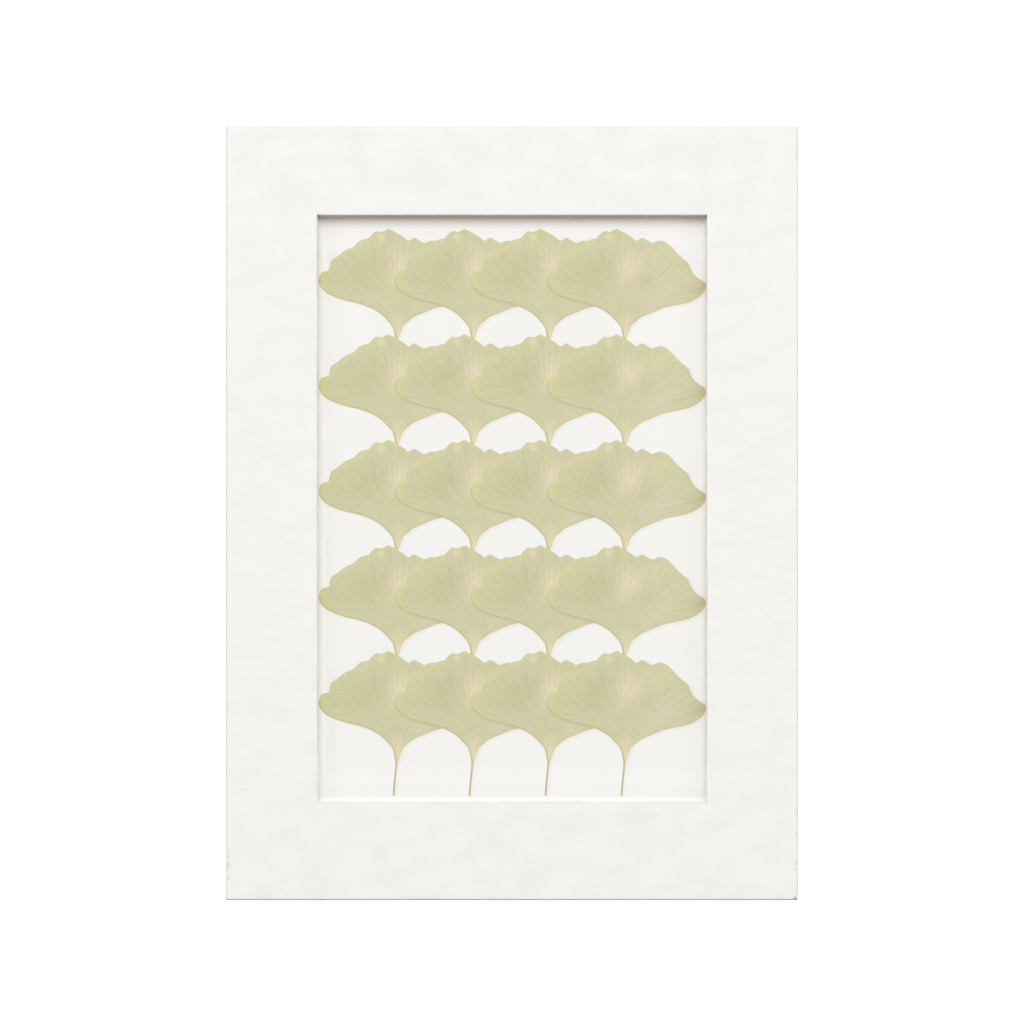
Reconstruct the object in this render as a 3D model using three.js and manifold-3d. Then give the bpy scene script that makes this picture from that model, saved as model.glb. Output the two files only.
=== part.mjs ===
// A white, paper-covered window frame that holds a printed picture of ginkgo leaves.
//
// The frame is bookbinder's work. A bookboard with a window is wrapped in soft white paper, whose
// flaps turn in round the outer edges and through the window. Behind it lie the print, hinged with
// tape to a mount card, four card spacers that make room for both, and a second wrapped board.
//
// Frame: millimetres. The frame lies on its back. +Z is out of its face, +Y is the top of the
// picture, and the origin is on the back face, at the middle of the outline.

import * as THREE from "three";
import { mergeVertices } from "three/addons/utils/BufferGeometryUtils.js";
import Module from "manifold-3d";

const wasm = await Module();
wasm.setup();

// ---- Driving dimensions -------------------------------------------------------------------------

const OPENING = { width: 101.2, height: 152.4 }; // shows a 4 x 6 inch picture
const BORDER = { side: 23.7, top: 23.6, bottom: 25.4 };
const PAPER = 0.35; // the covering paper
const GLUE = 0.05; // the glue line between two pasted layers
const FRONT_BOARD = 2.5;
const BACK_BOARD = 2.0;
const EDGE_RADIUS = 0.75; // of the wrapped outer edges, seen in section
const WINDOW_EDGE_RADIUS = 0.4; // of the wrapped window's crisper edges
const CORNER_RADIUS = 0.9; // of the wrapped outer corners, seen from the front
const WINDOW_CORNER = 0.05; // radius of the window's corners
const OUTER_TURN_IN = 12; // paper flap turned in behind an outer edge
const WINDOW_TURN_IN = 9; // paper flap turned in behind the window's edge
const SLIT = 0.4; // gap between two flaps at a corner
const PATCH = { leg: 5, paper: 0.12 }; // paper angle that hides the board in a window corner
const LINING = { paper: 0.15, inset: 3 };
const SPACER = { width: 8, inset: 1.6, joint: 0.2 };
const MOUNT_CARD = { thickness: 0.8, clearance: 0.4 };
const PRINT = { thickness: 0.3, overlap: 4 };
const HINGE = { tape: 0.08, width: 14, above: 8, below: 9, offset: 32 };
const CROSS_STRIP = { length: 30, width: 6, lift: 1.2 };
const JOINING_TAPE = { thickness: 0.1, width: 6 };

// ---- What follows from them ---------------------------------------------------------------------

const WIDTH = OPENING.width + 2 * BORDER.side;
const HEIGHT = OPENING.height + BORDER.top + BORDER.bottom;
const OPENING_Y = (BORDER.bottom - BORDER.top) / 2;
const SKIN = PAPER + GLUE; // one layer of pasted paper
const BACK_TOP = BACK_BOARD + 2 * SKIN;
const LINING_Z = BACK_TOP + GLUE;
const MOUNT_Z = LINING_Z + LINING.paper + GLUE;
const HINGE_Z = MOUNT_Z + MOUNT_CARD.thickness + GLUE;
const PRINT_Z = HINGE_Z + HINGE.tape + GLUE;
const TAPE_Z = PRINT_Z + PRINT.thickness + GLUE;
const FRONT_Z = TAPE_Z + JOINING_TAPE.thickness + GLUE;
const FRONT_THICKNESS = FRONT_BOARD + 2 * SKIN;
const SPACER_THICKNESS = TAPE_Z - GLUE - MOUNT_Z;

const OUTLINE = { width: WIDTH, height: HEIGHT, y: 0 };
const WINDOW = { ...OPENING, y: OPENING_Y };
const CURVE_STEPS = 5; // facets in a quarter turn
const CUT = 1; // how far a cutting solid runs past what it cuts
const TURNED = GLUE + PAPER + 0.02; // depth of a cut through the turned-in flaps alone

const material = (color, roughness) => new THREE.MeshStandardMaterial({ color, roughness, metalness: 0 });
const COVER_PAPER = material(0xf4f3ef, 0.92);
const PRINT_PAPER = material(0xf3f2ec, 0.85);
const GREY_BOARD = material(0x9a9388, 0.95);
const WHITE_CARD = material(0xf1efe8, 0.9);
const TAPE = material(0xeae4d4, 0.8);

const part = new THREE.Group();

function add(name, geometry, look) {
  const mesh = new THREE.Mesh(geometry, look);
  mesh.name = name;
  part.add(mesh);
  return mesh;
}

// ---- Solids: closed meshes joined and cut with manifold-3d ---------------------------------------

function solid(geometry) {
  const bare = new THREE.BufferGeometry().setAttribute("position", geometry.getAttribute("position"));
  bare.setIndex(geometry.index);
  const merged = mergeVertices(bare, 1e-4);
  return new wasm.Manifold(
    new wasm.Mesh({
      numProp: 3,
      vertProperties: merged.attributes.position.array,
      triVerts: new Uint32Array(merged.index.array),
    }),
  );
}

function geometry(body) {
  const mesh = body.getMesh();
  const made = new THREE.BufferGeometry();
  made.setAttribute("position", new THREE.BufferAttribute(mesh.vertProperties, 3));
  made.setIndex(new THREE.BufferAttribute(mesh.triVerts, 1));
  made.computeVertexNormals();
  return made;
}

// A rectangle as a shape or a hole, grown by grow on every side.
function rectangle(kind, size, grow, radius) {
  const x = size.width / 2 + grow;
  const y = size.height / 2 + grow;
  const quarter = Math.PI / 2;
  const path = new kind();
  path.moveTo(x, size.y - y + radius);
  path.absarc(x - radius, size.y + y - radius, radius, 0, quarter, false);
  path.absarc(radius - x, size.y + y - radius, radius, quarter, 2 * quarter, false);
  path.absarc(radius - x, size.y - y + radius, radius, 2 * quarter, 3 * quarter, false);
  path.absarc(x - radius, size.y - y + radius, radius, 3 * quarter, 4 * quarter, false);
  return path;
}

function slab(shape, z, thickness, edge = 0) {
  const made = new THREE.ExtrudeGeometry(shape, {
    depth: thickness - 2 * edge,
    curveSegments: CURVE_STEPS,
    bevelEnabled: edge > 0,
    bevelThickness: edge,
    bevelSize: edge,
    bevelOffset: -edge,
    bevelSegments: CURVE_STEPS,
  });
  return made.translate(0, 0, z + edge);
}

// A board with rounded edges, smaller than the frame's outline by inset.
function board(inset, z, thickness, edge) {
  const shape = rectangle(THREE.Shape, OUTLINE, -inset, Math.max(CORNER_RADIUS - inset, 0.3));
  return slab(shape, z, thickness, edge);
}

// The same with the window in it, wider by grow on every side, with a round of its own.
function windowedBoard(inset, z, thickness, edge, grow, windowEdge) {
  const sheet = rectangle(THREE.Shape, OUTLINE, 2 * CUT, CORNER_RADIUS);
  sheet.holes.push(rectangle(THREE.Path, WINDOW, grow, WINDOW_CORNER));
  return solid(board(inset, z, thickness, edge)).intersect(solid(slab(sheet, z, thickness, windowEdge)));
}

function box(width, height, thickness, x, y, z) {
  return new THREE.BoxGeometry(width, height, thickness).translate(x, y, z + thickness / 2);
}

// The slits between flaps: a thin box from each corner of a rectangle, along the corner's diagonal.
function cornerSlits(size, from, to, z, thickness) {
  const corners = [1, -1].flatMap((sx) => [1, -1].map((sy) => [sx, sy]));
  return corners.map(([sx, sy]) => {
    const length = Math.abs(to - from) * Math.SQRT2;
    const middle = (from + to) / 2;
    const slit = box(length, SLIT, thickness, 0, 0, z);
    slit.rotateZ((sx * sy * Math.PI) / 4);
    slit.translate(sx * (size.width / 2 + middle), size.y + sy * (size.height / 2 + middle), 0);
    return solid(slit);
  });
}

// ---- Paper wraps --------------------------------------------------------------------------------

// The back board's wrap: a tray whose flaps turn in over the board's inner face.
function backWrap() {
  const outside = solid(board(0, 0, BACK_TOP, EDGE_RADIUS));
  const inside = solid(board(PAPER, PAPER, BACK_TOP - 2 * PAPER, EDGE_RADIUS - PAPER));
  const mouth = solid(board(OUTER_TURN_IN, BACK_TOP - TURNED, TURNED + CUT, 0));
  const slits = cornerSlits(OUTLINE, -OUTER_TURN_IN - CUT, -CORNER_RADIUS, BACK_TOP - TURNED, TURNED + CUT);
  return slits.reduce((wrap, slit) => wrap.subtract(slit), outside.subtract(inside).subtract(mouth));
}

// What is left uncovered behind a window corner: the flaps were cut on the diagonal, so each gets
// shorter away from the window.
function uncoveredCorner(sx, sy) {
  const reach = WINDOW_TURN_IN + CUT;
  const outline = [[0, 0], [reach, -reach], [reach, reach], [-reach, reach]];
  const corner = new THREE.Shape(outline.map(([x, y]) => new THREE.Vector2(sx * x, sy * y)));
  const prism = slab(corner, FRONT_Z - CUT, TURNED + CUT);
  return prism.translate((sx * OPENING.width) / 2, OPENING_Y + (sy * OPENING.height) / 2, 0);
}

// The front board's wrap: one sheet over the face, turned in round the outline and through the window.
function frontWrap() {
  const outside = windowedBoard(0, FRONT_Z, FRONT_THICKNESS, EDGE_RADIUS, 0, WINDOW_EDGE_RADIUS);
  const inside = windowedBoard(
    PAPER, FRONT_Z + PAPER, FRONT_THICKNESS - 2 * PAPER,
    EDGE_RADIUS - PAPER, PAPER, WINDOW_EDGE_RADIUS - PAPER);
  const bare = windowedBoard(OUTER_TURN_IN, FRONT_Z - CUT, TURNED + CUT, 0, WINDOW_TURN_IN, 0);
  let wrap = outside.subtract(inside).subtract(bare);
  for (const sx of [1, -1]) {
    for (const sy of [1, -1]) {
      wrap = wrap.subtract(solid(uncoveredCorner(sx, sy)));
    }
  }
  const outerSlits = cornerSlits(
    OUTLINE, -OUTER_TURN_IN - CUT, -CORNER_RADIUS, FRONT_Z - CUT, TURNED + CUT);
  const wallSlits = cornerSlits(
    WINDOW, -CUT, EDGE_RADIUS, FRONT_Z - CUT, FRONT_THICKNESS + CUT - WINDOW_EDGE_RADIUS);
  return [...outerSlits, ...wallSlits].reduce((left, slit) => left.subtract(slit), wrap);
}

// ---- Sub-parts ----------------------------------------------------------------------------------

function addBoards() {
  add("back_cover", geometry(backWrap()), COVER_PAPER);
  add("back_board", board(SKIN, SKIN, BACK_BOARD, EDGE_RADIUS - PAPER), GREY_BOARD);
  add("front_cover", geometry(frontWrap()), COVER_PAPER);
  const grow = PAPER + PATCH.paper + 2 * GLUE;
  const front = windowedBoard(
    SKIN, FRONT_Z + SKIN, FRONT_BOARD, EDGE_RADIUS - PAPER, grow, WINDOW_EDGE_RADIUS - PAPER);
  add("front_board", geometry(front), GREY_BOARD);
}

// Four paper angles, each standing in a corner of the front board's window, behind the cover's slit.
function addCornerPatches() {
  const sides = { top: 1, bottom: -1, left: -1, right: 1 };
  const grow = PAPER + GLUE + PATCH.paper;
  const rounded = WINDOW_EDGE_RADIUS + GLUE;
  for (const vertical of ["top", "bottom"]) {
    for (const horizontal of ["left", "right"]) {
      const sx = sides[horizontal];
      const sy = sides[vertical];
      const { leg, paper } = PATCH;
      const angle = [[0, 0], [-leg, 0], [-leg, -paper], [-paper, -paper], [-paper, -leg], [0, -leg]];
      const shape = new THREE.Shape(angle.map(([x, y]) => new THREE.Vector2(sx * x, sy * y)));
      const patch = slab(shape, FRONT_Z + rounded, FRONT_THICKNESS - 2 * rounded);
      patch.translate(sx * (OPENING.width / 2 + grow), OPENING_Y + sy * (OPENING.height / 2 + grow), 0);
      add(`window_patch_${vertical}_${horizontal}`, patch, COVER_PAPER);
    }
  }
}

// Four card strips round the print and its mount, with a strip of double-sided tape on each.
function addSpacers() {
  const x = WIDTH / 2 - SPACER.inset - SPACER.width / 2;
  const y = HEIGHT / 2 - SPACER.inset - SPACER.width / 2;
  const across = WIDTH - 2 * SPACER.inset;
  const upright = HEIGHT - 2 * (SPACER.inset + SPACER.width + SPACER.joint);
  const strips = {
    top: [across, SPACER.width, 0, y],
    bottom: [across, SPACER.width, 0, -y],
    left: [SPACER.width, upright, -x, 0],
    right: [SPACER.width, upright, x, 0],
  };
  const narrower = SPACER.width - JOINING_TAPE.width;
  for (const [side, [width, height, cx, cy]] of Object.entries(strips)) {
    add(`spacer_${side}`, box(width, height, SPACER_THICKNESS, cx, cy, MOUNT_Z), WHITE_CARD);
    add(
      `joining_tape_${side}`,
      box(width - narrower, height - narrower, JOINING_TAPE.thickness, cx, cy, TAPE_Z),
      TAPE,
    );
  }
}

// The print on its mount card, held by two T-hinges: a tab behind the print's top edge, and a strip
// across the tab.
function addPrint() {
  const printTop = OPENING_Y + OPENING.height / 2 + PRINT.overlap;
  add(
    "print",
    box(
      OPENING.width + 2 * PRINT.overlap, OPENING.height + 2 * PRINT.overlap, PRINT.thickness,
      0, OPENING_Y, PRINT_Z),
    PRINT_PAPER,
  );
  const margin = 2 * (SPACER.inset + SPACER.width + MOUNT_CARD.clearance);
  add(
    "mount_card",
    box(WIDTH - margin, HEIGHT - margin, MOUNT_CARD.thickness, 0, 0, MOUNT_Z),
    WHITE_CARD,
  );
  for (const [side, sx] of [["left", -1], ["right", 1]]) {
    const x = sx * HINGE.offset;
    const tabY = printTop + (HINGE.above - HINGE.below) / 2;
    const tab = box(HINGE.width, HINGE.above + HINGE.below, HINGE.tape, x, tabY, HINGE_Z);
    const strip = box(
      CROSS_STRIP.length, CROSS_STRIP.width, HINGE.tape,
      x, printTop + CROSS_STRIP.lift + CROSS_STRIP.width / 2, PRINT_Z);
    add(`hinge_tab_${side}`, tab, TAPE);
    add(`hinge_strip_${side}`, strip, TAPE);
  }
}

function addLining() {
  const { inset, paper } = LINING;
  add("back_lining", box(WIDTH - 2 * inset, HEIGHT - 2 * inset, paper, 0, 0, LINING_Z), WHITE_CARD);
}

addBoards();
addCornerPatches();
addSpacers();
addPrint();
addLining();

export default part;
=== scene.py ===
"""A white, paper-covered window frame with a print of ginkgo leaves, lying on a pale floor.

Metres in the model's own frame: +Z out of the frame's face, +Y the top of the picture. Shapes are
worked out in millimetres and scaled when a mesh is made.
"""

import math

import bpy
import numpy as np
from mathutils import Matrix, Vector, noise
from mathutils.geometry import delaunay_2d_cdt


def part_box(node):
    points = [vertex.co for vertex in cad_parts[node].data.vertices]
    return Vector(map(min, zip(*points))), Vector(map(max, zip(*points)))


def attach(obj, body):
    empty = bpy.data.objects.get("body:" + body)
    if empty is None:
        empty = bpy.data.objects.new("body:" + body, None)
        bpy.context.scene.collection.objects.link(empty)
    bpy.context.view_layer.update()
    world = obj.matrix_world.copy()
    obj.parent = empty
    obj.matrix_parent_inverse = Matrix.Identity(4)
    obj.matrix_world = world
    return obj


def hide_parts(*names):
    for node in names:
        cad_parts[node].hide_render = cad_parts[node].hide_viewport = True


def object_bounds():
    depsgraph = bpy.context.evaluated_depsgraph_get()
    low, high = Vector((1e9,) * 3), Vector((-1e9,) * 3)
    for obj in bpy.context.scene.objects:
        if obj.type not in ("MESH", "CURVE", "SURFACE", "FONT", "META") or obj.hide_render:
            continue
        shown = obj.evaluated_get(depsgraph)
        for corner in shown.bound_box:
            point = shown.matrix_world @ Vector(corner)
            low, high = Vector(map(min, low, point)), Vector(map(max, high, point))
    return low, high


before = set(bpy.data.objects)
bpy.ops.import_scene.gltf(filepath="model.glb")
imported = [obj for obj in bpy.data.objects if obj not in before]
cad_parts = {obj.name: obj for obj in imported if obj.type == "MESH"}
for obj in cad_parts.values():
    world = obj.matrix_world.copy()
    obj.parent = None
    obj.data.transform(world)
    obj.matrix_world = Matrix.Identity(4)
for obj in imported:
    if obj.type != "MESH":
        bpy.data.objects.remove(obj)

CAD_BOX = [[float(v) for v in corner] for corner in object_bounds()]
MM = 0.001


def box_mm(node):
    """A CAD node's lowest and highest corners, in millimetres."""
    low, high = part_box(node)
    return np.array(low) / MM, np.array(high) / MM


# ---- Light and tone -----------------------------------------------------------------------------

FACE_LIGHT = 1.06  # what a white surface lying face up sends back, where 1.0 is the screen's white


def albedo(r, g, b):
    """The surface colour that shows as this 0 to 255 screen colour on a face turned up."""
    shown = [(v / 255 + 0.055) / 1.055 for v in (r, g, b)]
    return tuple(min(v**2.4 / FACE_LIGHT, 0.97) for v in shown) + (1.0,)


# ---- Meshes -------------------------------------------------------------------------------------


def mesh_object(name, points_mm, faces, *materials):
    mesh = bpy.data.meshes.new(name)
    mesh.from_pydata([tuple(np.asarray(p) * MM) for p in points_mm], [], faces)
    mesh.update()
    obj = bpy.data.objects.new(name, mesh)
    bpy.context.scene.collection.objects.link(obj)
    for material in materials:
        mesh.materials.append(material)
    return obj


def thick_sheet(name, quads, material):
    """A closed sheet from faces whose corners are (outer point, inner point) pairs, in millimetres.
    Corners that share an outer point are one. Free edges are closed with the sheet's thickness."""
    index, outer, inner, faces = {}, [], [], []
    for quad in quads:
        corners = []
        for out, into in quad:
            key = tuple(round(float(v), 4) for v in out)
            if key not in index:
                index[key] = len(outer)
                outer.append(out)
                inner.append(into)
            if index[key] not in corners:
                corners.append(index[key])
        if len(corners) > 2:
            faces.append(corners)
    used = dict.fromkeys((a, b) for face in faces for a, b in zip(face, face[1:] + face[:1]))
    n = len(outer)
    back = [[n + i for i in reversed(face)] for face in faces]
    rim = [[b, a, n + a, n + b] for a, b in used if (b, a) not in used]
    obj = mesh_object(name, outer + inner, faces + back + rim, material)
    obj.data.shade_smooth()
    return obj


def quarter(steps):
    """Angles from 0 to a quarter turn, both ends in."""
    return [math.pi / 2 * i / steps for i in range(steps + 1)]


def ripple(x, y, z, size, seed):
    """Smooth noise from -1 to 1 whose bumps are about size millimetres across."""
    return max(-1.0, min(1.0, 1.6 * noise.noise(Vector((x / size, y / size, z / size + seed)))))


# ---- The wrapped covers -------------------------------------------------------------------------

EDGE = 0.75  # radius of a wrapped outer edge in section
WINDOW_EDGE = 0.2  # and of the window's crisper edge
WINDOW_BACK_EDGE = 0.1  # and of its edge against the print
WINDOW_SAG = 0.17  # how far that edge sags to lie on the print
CORNER = 0.35  # radius of an outer corner in plan
CORNER_LEAST = 0.18  # and of the same corner further in, where the wrap rounds over
SKIN = 0.2  # thickness of the covering paper here, thin enough to stay clear of the board
TURN_IN = 12.0  # how far the wrap's flaps reach in behind the outer edge
WINDOW_TURN_IN = 9.0  # and behind the window's edge
FACE_STEPS = 14  # mesh rows across the face, from the outer edge to the window
COCKLE = 0.035  # depth of the faint cockle in the face's paper
WALL_GIVE = 0.06  # how much the window's walls wave
LONG_WAVE, SHORT_WAVE = 0.03, 0.015  # and the outer edge, in long and in short waves
PLEAT = 0.16  # depth of the folded seam down an outer corner
ARC = 6  # steps round an outer corner
PITCH = 1.5  # spacing of the mesh along the edges


class Outline:
    """A rounded rectangle. at(station, inset) is the point of one station, inset millimetres in."""

    def __init__(self, half_x, half_y, centre_y, radius):
        self.half, self.cy, self.radius = (half_x, half_y), centre_y, radius

    def at(self, station, inset):
        sx, sy, along, turn = station
        least = min(self.radius, CORNER_LEAST) if inset < 2 else 0.0
        r = max(self.radius - inset, least)
        x, y = self.half[0] - inset - r, self.half[1] - inset - r
        if turn is not None:
            return sx * x + r * math.cos(turn), self.cy + sy * y + r * math.sin(turn)
        if sx:
            return sx * (x + r), self.cy + along * y
        return along * x, self.cy + sy * (y + r)

    def normal(self, station):
        sx, sy, along, turn = station
        if turn is not None:
            return math.cos(turn), math.sin(turn)
        return sx, sy


def stations(half_x, half_y):
    """Anticlockwise from the lower right corner: (side x, side y, -1 to 1 along it, corner angle)."""
    found = []
    sides = [(1, 0, 1, half_y), (0, 1, -1, half_x), (-1, 0, -1, half_y), (0, -1, 1, half_x)]
    corners = [(1, 1), (-1, 1), (-1, -1), (1, -1)]
    for k, ((sx, sy, way, half), (cx, cy)) in enumerate(zip(sides, corners)):
        steps = round(2 * half / PITCH)
        found += [(sx, sy, way * (2 * i / steps - 1), None) for i in range(steps + 1)]
        start = k * math.pi / 2
        found += [(cx, cy, None, start + turn) for turn in quarter(ARC)[1:-1]]
    return found


def edge_wear(x, y, z, low, high):
    """How far in a worn, slightly wavy outer edge lies, in millimetres."""
    long_waves = LONG_WAVE * (1 + ripple(x, y, z, 24, 3))
    short_waves = SHORT_WAVE * (1 + ripple(x, y, z * 2, 5, 9))
    depth = long_waves + short_waves
    for dx, dy, reach, deep in DENTS:
        cx, cy = (high[0] if dx > 0 else low[0]), (low[1] if dy > 0 else high[1]) + dy
        gap = math.hypot(x - cx, y - cy, 0.6 * (z - high[2])) / reach
        depth += deep * math.exp(-gap * gap)
    return depth


# Knocks in the edges: which side (+ right, - left), how far up from the bottom or down from the
# top (-), reach and depth in millimetres.
DENTS = [
    (1, 8.4, 1.1, 0.06),
    (1, 9.9, 0.8, 0.05),
    (1, 0.4, 1.4, 0.07),
    (-1, 6.0, 1.6, 0.07),
    (-1, 11.5, 2.0, 0.05),
    (1, -12.0, 2.2, 0.05),
    (-1, -3.5, 1.5, 0.05),
]


def pleat(station, z, top):
    """The folded seam down an outer corner of the wrap, in millimetres."""
    turn = station[3]
    if turn is None or z > top - 0.4:
        return 0.0
    across = (turn % (math.pi / 2)) / (math.pi / 2) - 0.45
    return PLEAT * math.exp(-((across / 0.16) ** 2))


def side_profile(bottom, top, turn_in, edge, back_edge):
    """(inset, z, inset of the inner face, z of the inner face) round a wrapped edge, flap first."""
    rows = [(d, bottom, d, bottom + SKIN) for d in (turn_in, 0.6 * turn_in, 0.3 * turn_in)]
    core, back_core = max(edge - SKIN, 0.03), max(back_edge - SKIN, 0.03)
    for a in quarter(5):
        s, c = 1 - math.sin(a), 1 - math.cos(a)
        outer = (back_edge * s, bottom + back_edge * c)
        rows.append((*outer, SKIN + back_core * s, bottom + SKIN + back_core * c))
    straight = np.linspace(bottom + back_edge + SKIN, top - edge, 5)[1:-1]
    rows += [(0.0, z, SKIN, z) for z in straight]
    for a in quarter(7):
        s, c = 1 - math.cos(a), 1 - math.sin(a)
        outer = (edge * s, top - edge * c)
        rows.append((*outer, SKIN + core * s, top - SKIN - core * c))
    return rows


def outer_rows(outline, ring, low, high, turn_in):
    """Rows of (outer point, inner point) round the outer edge, from the flap to the face."""
    rows = []
    for inset, z, inner_inset, inner_z in side_profile(low[2], high[2], turn_in, EDGE, EDGE):
        row = []
        for station in ring:
            nx, ny = outline.normal(station)
            x, y = outline.at(station, inset)
            u, v = outline.at(station, inner_inset)
            fade = max(0.0, 1 - inset / (3 * EDGE))
            worn = fade * (edge_wear(x, y, z, low, high) + pleat(station, z, high[2]))
            outer_point = (x - nx * worn, y - ny * worn, z)
            inner_point = (u - nx * worn * 0.8, v - ny * worn * 0.8, inner_z)
            row.append((outer_point, inner_point))
        rows.append(row)
    return rows


def strips(rows):
    """The quads between rows of points that run round in a ring."""
    for lower, upper in zip(rows, rows[1:]):
        for i in range(len(lower)):
            j = (i + 1) % len(lower)
            yield lower[i], lower[j], upper[j], upper[i]


def make_front_cover(material):
    low, high = box_mm("front_cover")
    window_low, window_high = WINDOW
    half = (high[0], high[1])
    ring = stations(*half)
    outline = Outline(*half, 0.0, CORNER)
    opening = Outline(*((window_high - window_low) / 2), (window_high[1] + window_low[1]) / 2, 0.0)
    rows = outer_rows(outline, ring, low, high, TURN_IN)
    top = high[2]
    # The face, from the outer edge's round to the window's, with a faint cockle in the paper.
    for k in range(1, FACE_STEPS):
        t = k / FACE_STEPS
        row = []
        for station in ring:
            x0, y0 = outline.at(station, EDGE)
            x1, y1 = opening.at(station, -WINDOW_EDGE)
            x, y = x0 + (x1 - x0) * t, y0 + (y1 - y0) * t
            dip = COCKLE * math.sin(math.pi * t) * (1 + ripple(x, 2.2 * y, 0, 16, 5))
            row.append(((x, y, top - dip), (x, y, top - SKIN - dip)))
        rows.append(row)
    # Through the window and in behind it.
    window_profile = side_profile(low[2], top, WINDOW_TURN_IN, WINDOW_EDGE, WINDOW_BACK_EDGE)
    for inset, z, inner_inset, inner_z in reversed(window_profile):
        # The flap sags on to the print at the window's edge.
        below = min(1.0, max(0.0, low[2] + 1.0 - z))
        sag = WINDOW_SAG * below * max(0.0, 1 - inset / WINDOW_TURN_IN)
        z, inner_z = z - sag, inner_z - sag
        row = []
        for station in ring:
            x, y = opening.at(station, -inset)
            u, v = opening.at(station, -inner_inset)
            if station[3] is None:
                nx, ny = opening.normal(station)
                deep = min(1.0, max(0.0, (top - z) / EDGE - 0.3))
                give = WALL_GIVE * deep * (1 + ripple(x, y, z, 14, 12))
                x, y = x + nx * give, y + ny * give
                u, v = u + nx * give, v + ny * give
            row.append(((x, y, z), (u, v, inner_z)))
        rows.append(row)
    quads = []
    # The flaps behind the window are slit at its top corners.
    first_wall = len(rows) - len(window_profile) + 4
    for r, (lower, upper) in enumerate(zip(rows, rows[1:])):
        for i in range(len(ring)):
            j = (i + 1) % len(ring)
            turns = [ring[k][3] for k in (i, j) if ring[k][3] is not None]
            slit = any(turn < math.pi for turn in turns)
            if r < first_wall or not slit:
                quads.append((lower[i], lower[j], upper[j], upper[i]))
    return thick_sheet("cover_front_paper", quads, material)


def make_back_cover(material):
    low, high = box_mm("back_cover")
    flipped_low, flipped_high = np.array([*low[:2], -high[2]]), np.array([*high[:2], -low[2]])
    half = (high[0], high[1])
    ring = stations(*half)
    outline = Outline(*half, 0.0, CORNER)
    rows = outer_rows(outline, ring, flipped_low, flipped_high, TURN_IN)
    inset = 18.0  # where the rows round the edge meet the grid of the sheet's middle
    last_row = [outline.at(station, inset) for station in ring]
    rows.append([((x, y, -low[2]), (x, y, -low[2] - SKIN)) for x, y in last_row])
    quads = list(strips(rows))
    # The middle of the sheet, on the same stations.
    half_x, half_y = half[0] - inset, half[1] - inset
    xs = np.linspace(-half_x, half_x, round(2 * half[0] / PITCH) + 1)
    ys = np.linspace(-half_y, half_y, round(2 * half[1] / PITCH) + 1)

    def spot(x, y):
        return (x, y, -low[2]), (x, y, -low[2] - SKIN)

    for x0, x1 in zip(xs, xs[1:]):
        for y0, y1 in zip(ys, ys[1:]):
            quads.append((spot(x0, y0), spot(x1, y0), spot(x1, y1), spot(x0, y1)))
    turned = [
        tuple(tuple((p[0], p[1], -p[2]) for p in pair) for pair in reversed(quad)) for quad in quads
    ]
    return thick_sheet("cover_back_paper", turned, material)


# ---- The leaf -----------------------------------------------------------------------------------

# One ginkgo leaf's outline, in millimetres from the top of its stalk: over the lobes from left to
# right, back along the lower right margin, round the stalk, and out along the lower left margin.
LOBES = [
    (-20.6, 14.6), (-20.3, 15.8), (-19.7, 16.7), (-18.5, 17.0), (-17.9, 17.4), (-17.65, 18.8),
    (-17.1, 19.9), (-15.85, 20.7), (-14.05, 22.15), (-13.25, 22.65), (-12.1, 23.05),
    (-11.1, 23.7), (-10.3, 24.6), (-9.4, 25.1), (-8.4, 25.4), (-7.6, 25.55), (-6.8, 26.4),
    (-6.0, 27.2), (-5.2, 27.45), (-4.4, 27.2), (-3.6, 27.4), (-2.4, 28.0), (-1.6, 27.65),
    (-0.45, 27.1), (0.75, 26.4), (1.75, 25.7), (2.9, 24.9), (4.3, 25.65), (5.75, 24.95),
    (7.0, 24.35), (8.9, 24.95), (10.4, 24.6), (11.9, 23.4), (13.45, 21.7), (15.1, 20.2),
    (16.4, 19.1), (17.3, 17.1), (18.5, 15.5), (20.5, 14.2), (21.05, 13.0),
]  # fmt: skip
LOWER_RIGHT = [
    (20.5, 11.4), (18.9, 9.9), (16.2, 8.65), (13.2, 8.0), (10.1, 7.3), (7.1, 6.15), (4.6, 5.1),
    (2.8, 3.8), (1.6, 2.7),
]  # fmt: skip
STALK = [
    (1.0, 1.5), (0.62, 0.3), (0.2, -0.9), (-0.1, -2.6), (-0.33, -4.6), (-0.58, -7.4),
    (-0.78, -9.8), (-1.22, -9.9), (-1.12, -7.8), (-0.9, -5.4), (-0.64, -3.2), (-0.55, -1.4),
    (-0.68, -0.2), (-0.92, 1.2),
]  # fmt: skip
LOWER_LEFT = [
    (-1.35, 2.5), (-2.3, 3.7), (-3.5, 5.0), (-5.1, 6.3), (-7.2, 7.4), (-10.3, 8.5),
    (-13.5, 9.25), (-16.6, 10.3), (-18.9, 11.5), (-20.3, 13.2),
]  # fmt: skip
LEAF = LOBES + LOWER_RIGHT + STALK + LOWER_LEFT


def smooth_loop(corners, spacing):
    """A closed Catmull-Rom curve through corners, as points about spacing apart."""
    c = np.array(corners, float)
    before, after, beyond = np.roll(c, 1, 0), np.roll(c, -1, 0), np.roll(c, -2, 0)
    found = []
    for p0, p1, p2, p3 in zip(before, c, after, beyond):
        steps = max(1, round(np.linalg.norm(p2 - p1) / spacing))
        for t in np.arange(steps) / steps:
            bend = 2 * p1 + (p2 - p0) * t + (2 * p0 - 5 * p1 + 4 * p2 - p3) * t**2
            found.append(0.5 * (bend + (3 * p1 - p0 - 3 * p2 + p3) * t**3))
    return np.array(found)


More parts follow.
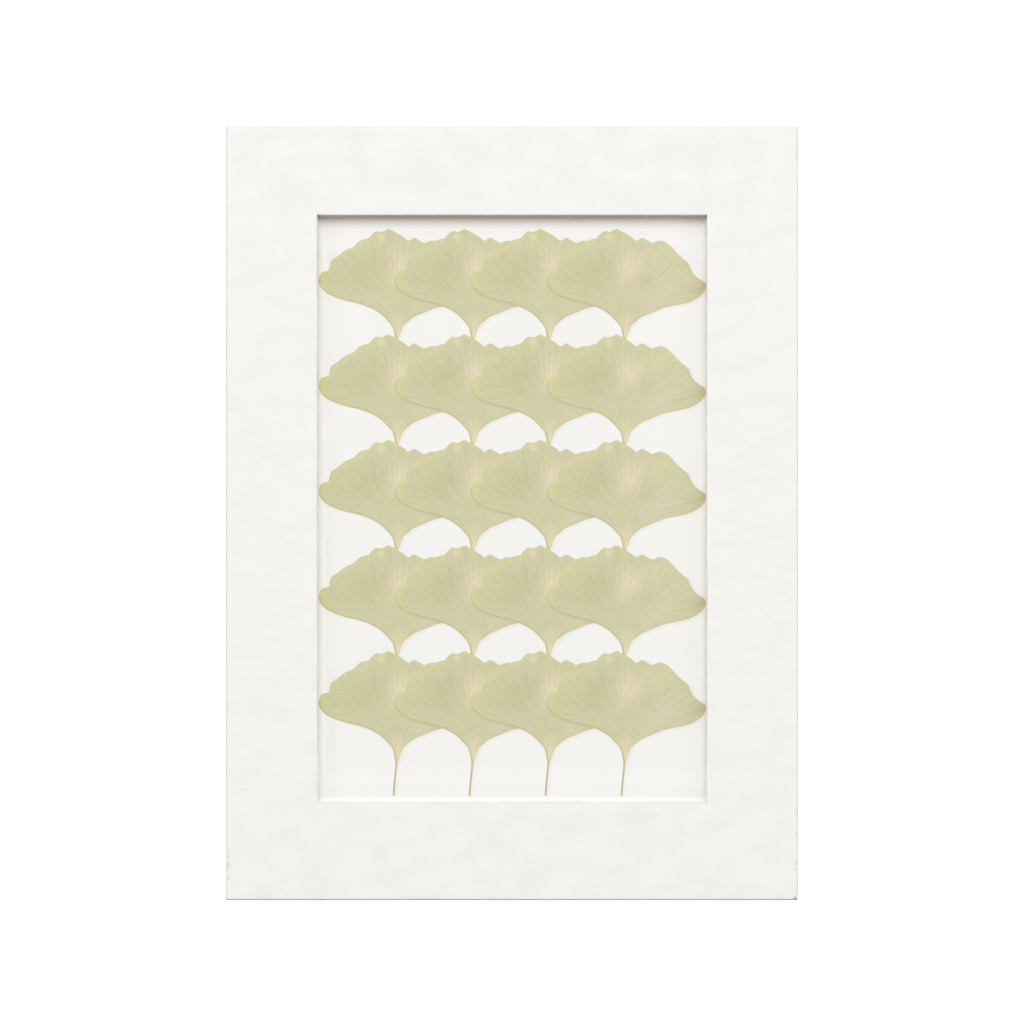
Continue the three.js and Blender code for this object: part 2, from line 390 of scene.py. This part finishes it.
class LeafField:
    """How far a point is from the leaf's outline, less than 0 inside, looked up on a grid."""

    STEP, MARGIN = 0.12, 3.0

    def __init__(self, outline):
        self.low = outline.min(0) - self.MARGIN
        size = np.ceil((outline.max(0) + self.MARGIN - self.low) / self.STEP).astype(int) + 1
        gx, gy = (self.low[k] + self.STEP * np.arange(size[k]) for k in (0, 1))
        x, y = (g.ravel() for g in np.meshgrid(gx, gy, indexing="ij"))
        a, b = outline, np.roll(outline, -1, 0)
        nearest = np.full(len(x), 1e9)
        inside = np.zeros(len(x), bool)
        for (ax, ay), (bx, by) in zip(a, b):
            dx, dy = bx - ax, by - ay
            t = (((x - ax) * dx + (y - ay) * dy) / (dx * dx + dy * dy)).clip(0, 1)
            nearest = np.minimum(nearest, (x - ax - t * dx) ** 2 + (y - ay - t * dy) ** 2)
            if ay != by:
                inside ^= ((ay > y) != (by > y)) & (x < ax + dx * (y - ay) / dy)
        self.grid = (np.sqrt(nearest) * np.where(inside, -1, 1)).reshape(size)

    def at(self, points):
        """Bilinear look-up. Points off the grid are as far out as its margin."""
        place = (np.asarray(points) - self.low) / self.STEP
        last = np.array(self.grid.shape) - 1.001
        off = ((place < 0) | (place > last)).any(1)
        place = place.clip(0, last)
        i = place.astype(int)
        f = place - i
        g, (p, q) = self.grid, i.T
        lower = g[p, q] * (1 - f[:, 0]) + g[p + 1, q] * f[:, 0]
        upper = g[p, q + 1] * (1 - f[:, 0]) + g[p + 1, q + 1] * f[:, 0]
        return np.where(off, self.MARGIN, lower * (1 - f[:, 1]) + upper * f[:, 1])


# ---- The print ----------------------------------------------------------------------------------

PRINT_OVERLAP = 4.0  # how far the print runs on behind the window's edge
COLUMNS, ROWS = 4, 5
COLUMN_PITCH, ROW_PITCH = 19.87, 27.59
FIRST_NECK = (-29.96, -65.1)  # lower left leaf's stalk top, from the window's middle
SHADOW_SHIFT = (0.5, -0.35)  # where the printed shadow falls
RINGS = (-1.5, -0.9, -0.5, -0.22, 0.25, 0.55, 0.95, 1.4)  # mesh lines beside an outline
GRID_STEP = 1.5  # spacing of the loose mesh points away from the outlines
NEAREST = 0.16  # loose points closer together than about this are one

print_low, print_high = box_mm("print")
WINDOW = (print_low[:2] + PRINT_OVERLAP, print_high[:2] - PRINT_OVERLAP)  # its low and high corners


def leaf_necks():
    """The stalk tops, lowest leaf of the pile first: each row over the one above it, and in a row
    each leaf over the one to its left."""
    middle = (WINDOW[0] + WINDOW[1]) / 2
    first = middle + FIRST_NECK
    places = [(column, row) for row in reversed(range(ROWS)) for column in range(COLUMNS)]
    return [first + (COLUMN_PITCH * column, ROW_PITCH * row) for column, row in places]


def smoothstep(x):
    x = np.clip(x, 0, 1)
    return x * x * (3 - 2 * x)


def make_print(paper, ink):
    outline = smooth_loop(LEAF, 0.4)
    field = LeafField(outline)
    necks = leaf_necks()
    points, edges = [], []
    for neck in necks:
        n = len(points)
        points += [tuple(p) for p in outline + neck]
        edges += [(n + i, n + (i + 1) % len(outline)) for i in range(len(outline))]
    # Points in rings beside each outline, and a loose grid over the rest.
    coarse = smooth_loop(LEAF, 0.8)
    along = np.roll(coarse, -1, 0) - np.roll(coarse, 1, 0)
    outward = np.stack([-along[:, 1], along[:, 0]], 1) / np.linalg.norm(along, axis=1)[:, None]
    loose = []
    for ring in RINGS:
        beside = coarse + outward * ring
        beside = beside[np.abs(field.at(beside) - ring) < 0.15]
        loose += [beside + neck for neck in necks]
    gx = np.arange(print_low[0] + 1, print_high[0] - 0.5, GRID_STEP)
    gy = np.arange(print_low[1] + 1, print_high[1] - 0.5, GRID_STEP * 0.87)
    grid = np.array([(x + GRID_STEP / 2 * (j % 2), y) for j, y in enumerate(gy) for x in gx])
    far = np.min([np.abs(field.at(grid - neck)) for neck in necks], axis=0) > 1.7
    loose.append(grid[far & (grid[:, 0] < print_high[0] - 0.4)])
    loose = np.concatenate(loose)
    inside = ((loose > print_low[:2] + 0.3) & (loose < print_high[:2] - 0.3)).all(1)
    loose = loose[inside]
    # One of any two loose points that nearly meet is enough.
    cells = {}
    for p in loose:
        cells.setdefault((round(p[0] / NEAREST), round(p[1] / NEAREST)), p)
    points += [tuple(p) for p in cells.values()]
    n = len(points)
    (x0, y0), (x1, y1) = print_low[:2], print_high[:2]
    sheet_corners = [(x0, y0), (x1, y0), (x1, y1), (x0, y1)]
    points += sheet_corners
    edges += [(n, n + 1), (n + 1, n + 2), (n + 2, n + 3), (n + 3, n)]
    verts, _, faces, *_ = delaunay_2d_cdt([Vector(p) for p in points], edges, [], 0, 1e-4)
    flat = np.array([tuple(v) for v in verts])
    faces = np.array([list(f) for f in faces])
    middle = flat[faces].mean(1)
    top_leaf = np.full(len(faces), -1)
    for i, neck in enumerate(necks):
        top_leaf[field.at(middle - neck) < 0] = i
    # Corner values: place in the leaf, distance to its rim, and the shadow of the leaves above.
    corners = flat[faces].reshape(-1, 2)
    owner = np.repeat(top_leaf, 3)
    rim = np.zeros(len(corners))
    place = np.zeros((len(corners), 2))
    shade = np.zeros(len(corners))
    for i, neck in enumerate(necks):
        mine = owner == i
        place[mine] = corners[mine] - neck
        rim[mine] = np.maximum(0, -field.at(corners[mine] - neck))
        under = owner < i
        depth = field.at(corners[under] - neck - SHADOW_SHIFT)
        shade[under] = np.maximum(shade[under], smoothstep((0.6 - depth) / 0.9))
    z0, z1 = print_low[2], print_high[2]
    n = len(flat)
    sheet = [(x, y, z1) for x, y in flat] + [(x, y, z0) for x, y in sheet_corners]
    rim_corners = [int(np.argmin(np.abs(flat - corner).sum(1))) for corner in sheet_corners]
    solid = [list(map(int, f)) for f in faces]
    solid.append([n + 3, n + 2, n + 1, n])
    for k in range(4):
        j = (k + 1) % 4
        solid.append([n + k, n + j, rim_corners[j], rim_corners[k]])
    obj = mesh_object("print_sheet", sheet, solid, paper, ink)
    mesh = obj.data
    spare = sum(len(f) for f in solid[len(faces) :])
    mesh.polygons.foreach_set(
        "material_index", np.concatenate([(top_leaf >= 0).astype(int), np.zeros(5, int)])
    )
    layer = mesh.uv_layers.new(name="leaf_place")
    places = np.concatenate([place.ravel(), np.zeros(2 * spare)])
    layer.uv.foreach_set("vector", places.astype(np.float32))
    for name, values in (("rim", rim), ("shade", shade)):
        attribute = mesh.attributes.new(name, "FLOAT", "CORNER")
        padded = np.concatenate([values, np.zeros(spare)])
        attribute.data.foreach_set("value", padded.astype(np.float32))
    mesh.update()
    return obj


# ---- Materials ----------------------------------------------------------------------------------


class Look:
    """A material built from nodes. A value may be a number, a tuple or another node's output."""

    def __init__(self, name, roughness):
        self.material = bpy.data.materials.new(name)
        self.material.use_nodes = True
        self.tree = self.material.node_tree
        self.shader = self.tree.nodes["Principled BSDF"]
        self.shader.inputs["Roughness"].default_value = roughness
        self.shader.inputs["Specular IOR Level"].default_value = 0.2

    def put(self, socket, value):
        if isinstance(value, bpy.types.NodeSocket):
            self.tree.links.new(value, socket)
        else:
            socket.default_value = value

    def node(self, kind, inputs=(), output=0, **settings):
        made = self.tree.nodes.new("ShaderNode" + kind)
        for key, value in settings.items():
            setattr(made, key, value)
        for key, value in dict(inputs).items():
            self.put(made.inputs[key], value)
        return made.outputs[output]

    def math(self, operation, *values):
        return self.node("Math", dict(enumerate(values)), operation=operation)

    def vector(self, x=0.0, y=0.0, z=0.0):
        return self.node("CombineXYZ", {0: x, 1: y, 2: z})

    def split(self, vector):
        made = self.tree.nodes.new("ShaderNodeSeparateXYZ")
        self.put(made.inputs[0], vector)
        return made.outputs

    def mix(self, factor, a, b, blend="MIX"):
        made = self.tree.nodes.new("ShaderNodeMix")
        made.data_type, made.blend_type = "RGBA", blend
        for socket, value in zip((made.inputs[0], made.inputs[6], made.inputs[7]), (factor, a, b)):
            self.put(socket, value)
        return made.outputs[2]

    def fade(self, value, start, end, low=0.0, high=1.0):
        """Goes smoothly from low to high as value goes from start to end."""
        inputs = {"Value": value, "From Min": start, "From Max": end, "To Min": low, "To Max": high}
        return self.node("MapRange", inputs, interpolation_type="SMOOTHSTEP")

    def noise(self, vector, scale, detail=3.0, roughness=0.5, distortion=0.0):
        inputs = {
            "Vector": vector,
            "Scale": scale,
            "Detail": detail,
            "Roughness": roughness,
            "Distortion": distortion,
        }
        return self.node("TexNoise", inputs)

    def stretched(self, x, y, z):
        """The object's own coordinates in millimetres, stretched by these factors."""
        place = self.node("TexCoord", output=3)
        scale = (1 / (MM * x), 1 / (MM * y), 1 / (MM * z))
        return self.node("Mapping", {"Vector": place, "Scale": scale})

    def spot(self, place, centre, radii, lean=0.0):
        """1 in the middle of a soft ellipse, 0 outside it. lean turns it, in degrees."""
        inputs = {
            "Vector": place,
            "Location": (*centre, 0),
            "Rotation": (0, 0, math.radians(lean)),
            "Scale": (*radii, 1),
        }
        turned = self.node("Mapping", inputs, vector_type="TEXTURE")
        reach = self.node("VectorMath", {0: turned}, output=1, operation="LENGTH")
        return self.fade(reach, 1.0, 0.0)

    def finish(self, colour, height=None, depth=0.0):
        self.put(self.shader.inputs["Base Color"], colour)
        if height is not None:
            bump = self.node("Bump", {"Height": height, "Distance": depth * MM, "Strength": 1.0})
            self.put(self.shader.inputs["Normal"], bump)
        return self.material


# Rubbed spots along the edges of the face, in millimetres from the frame's middle: place, radius
# and strength.
SCUFFS = [
    ((73.4, -100.3), 1.0, 0.62),
    ((73.8, -92.4), 0.6, 0.25),
    ((73.8, -90.8), 0.6, 0.25),
    ((73.8, -83.0), 0.6, 0.18),
    ((73.8, -77.9), 0.8, 0.15),
    ((-73.7, -89.2), 0.8, 0.18),
    ((-73.7, -91.4), 0.9, 0.2),
    ((-73.6, -94.7), 0.6, 0.2),
]
SOIL_AND_SHADE = (0.1, 0.045, 0.005, 1)  # the brown of rubbed paper, also used for the painted shade lines along the outer edge's shoulders


def folded(look, colour):
    """Paper taken over an edge: painted shade in a warm grey on the window's top wall, which faces
    down, painted shade lines in brown along the shoulders of the frame's outer edge, brown rubbed
    spots, and painted light, paler, where it faces the top or a side."""
    # Painted light: the paper is paler where it faces the top or a side.
    across, along, _ = look.split(look.node("TexCoord", output=1))
    aside = look.fade(look.math("ABSOLUTE", across), 0.35, 0.95)
    pale = look.math("MAXIMUM", aside, look.fade(along, 0.1, 0.6))
    colour = look.mix(pale, colour, albedo(255, 254, 252))
    x, y, z = look.split(look.stretched(1, 1, 1))
    lowest = CAD_BOX[0][1] / MM
    widest, _, face = [v / MM for v in CAD_BOX[1]]
    # Painted shade: a warm grey on the window's top wall, which faces down.
    grey = look.mix(1.0, colour, (0.8, 0.71, 0.66, 1), "MULTIPLY")
    upper = look.math("MULTIPLY", look.fade(y, 0.0, 20.0), look.fade(along, -0.35, -0.95))
    colour = look.mix(upper, colour, grey)
    # Painted shade: brown lines along the shoulders of the outer edge, at its bottom, its sides and
    # its top. The rubbed spots below are marks of wear.
    at_bottom = look.fade(y, lowest + 3, lowest + 1)
    low = look.math("MULTIPLY", at_bottom, look.fade(along, -0.3, -0.65, 0.0, 0.74))
    at_side = look.fade(look.math("ABSOLUTE", x), widest - 3, widest - 1)
    faces_side = look.fade(look.math("ABSOLUTE", across), 0.3, 0.8, 0.0, 0.34)
    side = look.math("MULTIPLY", at_side, faces_side)
    top_rim = look.fade(along, 0.5, 0.95, 0.0, 0.4)
    soil_and_shade = look.math("MAXIMUM", look.math("MAXIMUM", low, side), top_rim)
    for centre, radius, strength in SCUFFS:
        scuff = look.spot(look.vector(x, y), centre, (radius, 1.3 * radius))
        soil_and_shade = look.math("MAXIMUM", soil_and_shade, look.math("MULTIPLY", scuff, strength))
    soil_and_shade = look.math("MULTIPLY", soil_and_shade, look.fade(z, face - 0.9, face - 0.5))
    return look.mix(soil_and_shade, colour, SOIL_AND_SHADE)


def paper_look(name, tone, stain, grain=1.0):
    """Soft mould-made paper: faint clouds, long wisps of fibre across it, and a fine tooth."""
    look = Look(name, 0.9)
    clouds = look.noise(look.stretched(9, 6, 9), 1.0, 3.0)
    wisps = look.noise(look.stretched(3.2, 0.45, 0.45), 1.0, 4.0, 0.6, 0.5)
    tooth = look.noise(look.stretched(0.35, 0.3, 0.3), 1.0, 2.0)
    colour = look.mix(look.fade(clouds, 0.35, 0.7, 0.0, 0.5 * grain), tone, stain)
    colour = look.mix(look.fade(wisps, 0.5, 0.75, 0.0, 0.45 * grain), colour, stain)
    height = look.math("MULTIPLY_ADD", wisps, 0.7, look.math("MULTIPLY", tooth, 0.5))
    look.put(look.shader.inputs["Roughness"], look.fade(tooth, 0.3, 0.7, 0.84, 0.95))
    # folded paints light and shade on the paper's edges, and adds the rubbed spots.
    return look.finish(folded(look, colour), height, 0.05 * grain)


def board_look(name, tone, fleck):
    """Grey bookboard: pressed pulp with darker and lighter flecks, in faint layers at its edge."""
    look = Look(name, 0.95)
    pulp = look.noise(look.stretched(1.2, 1.2, 0.3), 1.0, 4.0, 0.65)
    flecks = look.noise(look.stretched(0.5, 0.25, 0.2), 1.0, 2.0)
    colour = look.mix(look.fade(pulp, 0.3, 0.7), tone, fleck)
    colour = look.mix(look.fade(flecks, 0.62, 0.72, 0.0, 0.5), colour, albedo(214, 208, 196))
    return look.finish(colour, look.math("ADD", pulp, flecks), 0.06)


def tape_look(name, tone, crease):
    """Gummed linen-finish paper tape: a fine weave and faint wrinkles across it."""
    look = Look(name, 0.7)
    weave = {"Vector": look.stretched(0.5, 0.5, 0.5), "Scale": 1.0, "Distortion": 1.0}
    threads = look.node("TexWave", weave)
    wrinkles = look.noise(look.stretched(2.0, 6.0, 2.0), 1.0, 3.0, 0.6)
    colour = look.mix(look.fade(wrinkles, 0.35, 0.7), tone, crease)
    return look.finish(colour, look.math("ADD", threads, wrinkles), 0.02)


def painted_shade_by_walls(look, colour):
    """Painted shade on the print: a little darker towards the window's lower wall, and a warm painted
    shade beside its side walls.
    """
    x, y, _ = look.split(look.stretched(1, 1, 1))
    lower, side = WINDOW[0][1], WINDOW[1][0]
    from_side = look.math("SUBTRACT", side, look.math("ABSOLUTE", x))
    # Painted warm shade beside the side walls.
    warm_wall_shade = look.mix(1.0, colour, (0.965, 0.945, 0.915, 1), "MULTIPLY")
    colour = look.mix(look.fade(from_side, 2.8, 0.4), colour, warm_wall_shade)
    # Painted shade towards the lower wall.
    above = look.fade(y, lower + 6.0, lower)
    shade = look.math("MULTIPLY", look.fade(y, lower, lower + 1.0, 0.04, 0.16), above)
    return look.mix(shade, colour, (0, 0, 0, 1))


def painted_light_below_top(look, colour):
    """Painted light: the print is a touch paler in a band a little way below the window's upper wall.
    """
    _, y, _ = look.split(look.stretched(1, 1, 1))
    upper = WINDOW[1][1]
    pale = look.mix(1.0, colour, (1.035, 1.04, 1.045, 1), "MULTIPLY")
    rising = look.fade(y, upper - 12.0, upper - 5.0)
    falling = look.fade(y, upper - 1.2, upper - 3.2)
    return look.mix(look.math("MULTIPLY", rising, falling), colour, pale)


def print_paper_look():
    """The print's smooth off-white sheet, and the faint shadow printed beside each leaf."""
    look = Look("print_paper", 0.8)
    clouds = look.noise(look.stretched(14, 11, 14), 1.0, 2.0)
    tooth = look.noise(look.stretched(0.5, 0.4, 0.4), 1.0, 3.0, 0.6)
    white, cream = albedo(246.2, 244.9, 241), albedo(244.7, 243.4, 239.5)
    colour = look.mix(look.fade(clouds, 0.3, 0.7, 0.0, 0.6), white, cream)
    shade = look.node("Attribute", attribute_name="shade", output=2)
    colour = look.mix(look.math("MULTIPLY", shade, 0.3), colour, albedo(229, 223, 218))
    # Painted shade beside the window's walls and painted light below its top, over the print's own
    # colours.
    return look.finish(painted_shade_by_walls(look, painted_light_below_top(look, colour)), tooth, 0.012)


# Patches of colour in the leaf: middle, radii, lean in degrees, colour, strength.
LEAF_SPOTS = [
    ((-9.0, 16.5), (9.5, 7.5), 20, (200, 197, 158), 0.9),  # dull green middle of the left half
    ((-5.0, 19.5), (5.5, 4.5), 60, (199, 195, 157), 0.5),
    ((-13.5, 24.0), (8.0, 3.2), 28, (218, 214, 175), 0.8),  # pale band inside the upper left lobes
    ((-8.0, 24.5), (4.5, 2.2), 30, (208, 205, 168), 0.8),
    ((0.9, 18.0), (4.8, 6.0), -12, (228, 215, 184), 1.0),  # warm light on the fold
    ((3.6, 18.8), (2.2, 4.6), -10, (226, 213, 180), 0.55),
    ((-1.0, 14.8), (1.8, 4.0), -14, (223, 212, 177), 0.5),
    ((-4.4, 26.0), (1.8, 1.6), 0, (226, 217, 188), 0.8),  # small light spot at the top
    ((8.5, 21.5), (6.0, 4.5), -20, (214, 210, 170), 0.7),
    ((10.0, 12.0), (9.0, 4.0), 20, (214, 208, 175), 0.8),  # beige fan of the lower right half
    ((7.0, 8.5), (5.5, 3.0), 25, (217, 208, 177), 0.7),
    ((5.5, 13.8), (3.4, 3.2), 0, (203, 199, 163), 0.7),
    ((20.0, 12.6), (4.6, 3.2), 0, (193, 187, 146), 0.65),  # dark right tip
    ((-19.5, 14.8), (3.0, 4.5), 0, (211, 212, 152), 0.6),  # yellow-green left tip
    ((0.2, 3.4), (3.4, 4.2), 0, (223, 214, 177), 0.9),  # pale throat
    ((0.1, 0.4), (1.3, 3.2), 0, (232, 223, 184), 0.95),
]


def leaf_look():
    """The printed leaf: patches of colour, a fan of forking veins, a lit and a dark margin."""
    look = Look("leaf_ink", 0.82)
    place = look.node("UVMap", uv_map="leaf_place")
    x, y, _ = look.split(place)
    rim = look.node("Attribute", attribute_name="rim", output=2)
    colour = albedo(209, 205, 167)
    for centre, radii, lean, tone, strength in LEAF_SPOTS:
        factor = look.math("MULTIPLY", look.spot(place, centre, radii, lean), strength)
        colour = look.mix(factor, colour, albedo(*tone))
    # Fan coordinates: radius from the stalk's top, and 0 to 1 across the fan at that radius.
    raised = look.math("ADD", y, 1.0)
    squares = look.math("ADD", look.math("POWER", x, 2.0), look.math("POWER", raised, 2.0))
    radius = look.math("SQRT", squares)
    angle = look.math("ARCTAN2", x, raised)
    spread = look.fade(radius, 1.0, 26.0, 0.42, 1.12)
    across = look.math("MULTIPLY_ADD", look.math("DIVIDE", angle, spread), 0.5, 0.5)
    arc = look.math("MULTIPLY", look.math("MULTIPLY", radius, spread), 2.0)
    # A vein forks each time the arc has doubled, so the veins stay about as far apart everywhere.
    doublings = look.math("LOGARITHM", look.math("DIVIDE", arc, 0.95), 2.0)
    whole = look.math("FLOOR", doublings)
    part_way = look.math("FRACT", doublings)
    cells = look.math("POWER", 2.0, whole)
    along = look.math("MULTIPLY", across, cells)
    cell = look.math("FLOOR", along)
    delay = look.node("TexWhiteNoise", {"Vector": look.vector(cell, whole)}, noise_dimensions="2D")
    forked = look.node(
        "MapRange",
        {
            "Value": part_way,
            "From Min": look.math("MULTIPLY", delay, 0.6),
            "From Max": 1.0,
            "To Min": 0.0,
            "To Max": 0.25,
        },
        interpolation_type="SMOOTHSTEP",
    )
    off_middle = look.math("ABSOLUTE", look.math("SUBTRACT", look.math("FRACT", along), 0.5))
    off_vein = look.math("ABSOLUTE", look.math("SUBTRACT", off_middle, forked))
    vein_mm = look.math("MULTIPLY", off_vein, look.math("DIVIDE", arc, cells))
    vein = look.fade(vein_mm, 0.2, 0.0)
    # Fine streaks along the fan, soft mottling, a fine speckle, and the pale veins.
    fan = look.vector(look.math("MULTIPLY", across, 46.0), look.math("MULTIPLY", radius, 0.16))
    streaks = look.noise(fan, 1.0, 3.0, 0.6)
    mottle = look.noise(place, 1.6, 3.0, 0.6)
    light = look.fade(streaks, 0.25, 0.75, -0.1, 0.1)
    light = look.math("ADD", light, look.fade(mottle, 0.3, 0.7, -0.025, 0.025))
    speckle = look.noise(place, 2.3, 2.0, 0.7)
    light = look.math("ADD", light, look.fade(speckle, 0.35, 0.65, -0.11, 0.11))
    light = look.math("MULTIPLY_ADD", vein, 0.085, light)
    darker = look.mix(1.0, colour, (0.78, 0.78, 0.78, 1), "MULTIPLY")
    lighter = look.mix(1.0, colour, (1.22, 1.22, 1.22, 1), "MULTIPLY")
    colour = look.mix(look.math("ADD", light, 0.5), darker, lighter)
    # Pink-beige between the veins of the right half.
    right_half = look.spot(place, (8.0, 12.5), (10.5, 7.5), 25)
    rose = look.math("MULTIPLY", right_half, look.fade(streaks, 0.42, 0.62))
    colour = look.mix(look.math("MULTIPLY", rose, 0.65), colour, albedo(221, 206, 181))
    # Margins: yellow-green and lit along the upper left, olive and dark along the lower edges.
    diagonal = look.math("SUBTRACT", look.math("MULTIPLY", y, 0.9), look.math("MULTIPLY", x, 0.9))
    upper_left = look.fade(diagonal, 20.0, 27.0)
    lit = look.math("MULTIPLY", look.fade(rim, 1.5, 0.1), upper_left)
    colour = look.mix(look.math("MULTIPLY", lit, 0.5), colour, albedo(214, 214, 152))
    top = look.math("MULTIPLY", look.fade(rim, 1.1, 0.0), look.fade(y, 17.0, 23.0))
    colour = look.mix(look.math("MULTIPLY", top, 0.25), colour, albedo(216, 213, 154))
    slope = look.math("MULTIPLY", look.math("ABSOLUTE", x), 0.22)
    lower = look.fade(look.math("SUBTRACT", y, slope), 11.5, 8.5)
    lower = look.math("MULTIPLY", lower, look.fade(x, 0.6, -0.8, 0.25, 1.0))
    dark = look.math("MULTIPLY", look.fade(rim, 0.55, 0.0), lower)
    colour = look.mix(look.math("MULTIPLY", dark, 0.6), colour, albedo(181, 174, 122))
    stalk_left = look.math("MULTIPLY", look.fade(y, 3.0, 0.0), look.fade(x, 0.1, -0.6))
    colour = look.mix(look.math("MULTIPLY", stalk_left, 0.45), colour, albedo(192, 182, 122))
    shade = look.node("Attribute", attribute_name="shade", output=2)
    colour = look.mix(look.math("MULTIPLY", shade, 0.32), colour, albedo(176, 168, 140))
    tooth = look.noise(look.stretched(0.5, 0.4, 0.4), 1.0, 3.0, 0.6)
    # Painted shade beside the window's walls and painted light below its top, over the leaf's printed
    # colours.
    return look.finish(painted_shade_by_walls(look, painted_light_below_top(look, colour)), tooth, 0.012)


# ---- The scene ----------------------------------------------------------------------------------

cover_paper = paper_look("cover_paper", albedo(248, 246.3, 242.3), albedo(242.5, 240, 235))
card_paper = paper_look("white_card", albedo(244, 242, 236), albedo(236, 233, 225), 0.6)
grey_board = board_look("grey_board", albedo(168, 160, 149), albedo(140, 132, 121))
tape = tape_look("linen_tape", albedo(236, 230, 214), albedo(222, 214, 194))

front_cover = make_front_cover(cover_paper)
back_cover = make_back_cover(cover_paper)
sheet = make_print(print_paper_look(), leaf_look())
for piece, node, slot in (
    (front_cover, "front_cover", "cover_paper"),
    (back_cover, "back_cover", "cover_paper"),
    (sheet, "print", "print_paper"),
):
    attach(piece, "root")
    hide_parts(node)

LOOKS = {
    "board": grey_board,
    "patch": cover_paper,
    "spacer": card_paper,
    "lining": card_paper,
    "card": card_paper,
    "tape": tape,
    "hinge": tape,
}
for name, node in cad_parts.items():
    for word, look in LOOKS.items():
        if word in name and name not in ("front_cover", "back_cover", "print"):
            node.data.materials.clear()
            node.data.materials.append(look)

FLOOR_HALF = 60000.0  # half the floor's width, far enough to reach the horizon
FLOOR_DROP = 0.02  # how far the floor lies below the frame's back
FLOOR_GLOW = 0.9
floor_look = Look("floor_white", 0.9)
floor_look.put(floor_look.shader.inputs["Emission Color"], (1.0, 1.0, 1.0, 1.0))
floor_look.shader.inputs["Emission Strength"].default_value = FLOOR_GLOW
floor_grain = floor_look.noise(floor_look.stretched(30, 30, 30), 1.0)
floor_tone = floor_look.mix(floor_grain, (0.8, 0.8, 0.8, 1), (0.82, 0.82, 0.82, 1))
floor_corners = [(-1, -1), (1, -1), (1, 1), (-1, 1)]
floor_points = [(sx * FLOOR_HALF, sy * FLOOR_HALF, -FLOOR_DROP) for sx, sy in floor_corners]
floor = mesh_object("floor", floor_points, [(0, 1, 2, 3)], floor_look.finish(floor_tone))
floor.visible_diffuse = False  # its glow is kept off the frame

# The surroundings: a dim warm room above, a white band at the horizon behind the floor, and below
# it the light that a white table sends back on to the frame's edges.
SKY = (
    (-1.0, (0.6, 0.59, 0.57)),
    (-0.02, (0.6, 0.59, 0.57)),
    (-0.01, (1.0, 1.0, 1.0)),
    (0.085, (1.0, 1.0, 1.0)),
    (0.1, (0.155, 0.136, 0.098)),
)
world = bpy.data.worlds.new("studio")
world.use_nodes = True
sky_nodes, sky_links = world.node_tree.nodes, world.node_tree.links
height = sky_nodes.new("ShaderNodeSeparateXYZ")
sky_links.new(sky_nodes.new("ShaderNodeTexCoord").outputs["Generated"], height.inputs[0])
along_ramp = sky_nodes.new("ShaderNodeMapRange")
along_ramp.inputs["From Min"].default_value = -1.0
sky_links.new(height.outputs[2], along_ramp.inputs["Value"])
ramp = sky_nodes.new("ShaderNodeValToRGB")
sky_links.new(along_ramp.outputs[0], ramp.inputs[0])
stops = ramp.color_ramp.elements
stops.remove(stops[1])
for k, (z, colour) in enumerate(SKY):
    stop = stops[0] if k == 0 else stops.new((z + 1) / 2)
    stop.position, stop.color = (z + 1) / 2, (*colour, 1.0)
sky_links.new(ramp.outputs[0], sky_nodes["Background"].inputs["Color"])
bpy.context.scene.world = world


def area_light(name, place, size, power, colour):
    """A round soft box at place, turned to the frame's middle."""
    data = bpy.data.lights.new(name, "AREA")
    data.shape, data.size, data.energy, data.color = "DISK", size, power, colour
    lamp = bpy.data.objects.new(name, data)
    lamp.location = place
    lamp.rotation_euler = (-place).to_track_quat("-Z", "Y").to_euler()
    bpy.context.scene.collection.objects.link(lamp)


# Soft boxes round the frame: degrees clockwise from the top of the picture, degrees above the
# floor, width in metres, power and colour.
LAMP_DISTANCE = 3.0
LAMPS = {
    "key": (0, 66, 2.5, 62.5, (0.955, 0.99, 1.045)),
    "low": (0, 25, 1.4, 16.0, (1.0, 1.0, 1.03)),
    "right": (90, 34, 2.0, 25.5, (1.0, 1.0, 1.03)),
    "left": (-90, 34, 2.0, 25.5, (1.0, 1.0, 1.03)),
}
for name, (turn, height, size, power, colour) in LAMPS.items():
    turn, height = math.radians(turn), math.radians(height)
    aside, along = math.sin(turn) * math.cos(height), math.cos(turn) * math.cos(height)
    place = Vector((aside, along, math.sin(height))) * LAMP_DISTANCE
    area_light(name, place, size, power, colour)

# The camera looks straight down on the middle of the frame.
CAMERA_HEIGHT = 0.37  # above the frame's face
CAMERA_SHIFT = 0.00013  # off the frame's middle, towards its top
PIXELS_PER_METRE = 3860
SENSOR, IMAGE_WIDTH = 36.0, 1024
camera_data = bpy.data.cameras.new("camera")
camera_data.sensor_width = SENSOR
camera_data.lens = PIXELS_PER_METRE * CAMERA_HEIGHT * SENSOR / IMAGE_WIDTH
camera_data.clip_start, camera_data.clip_end = 0.01, 20
camera = bpy.data.objects.new("camera", camera_data)
camera.location = (0, CAMERA_SHIFT, CAD_BOX[1][2] + CAMERA_HEIGHT)
bpy.context.scene.collection.objects.link(camera)
bpy.context.scene.camera = camera
bpy.context.scene.view_settings.view_transform = "Standard"
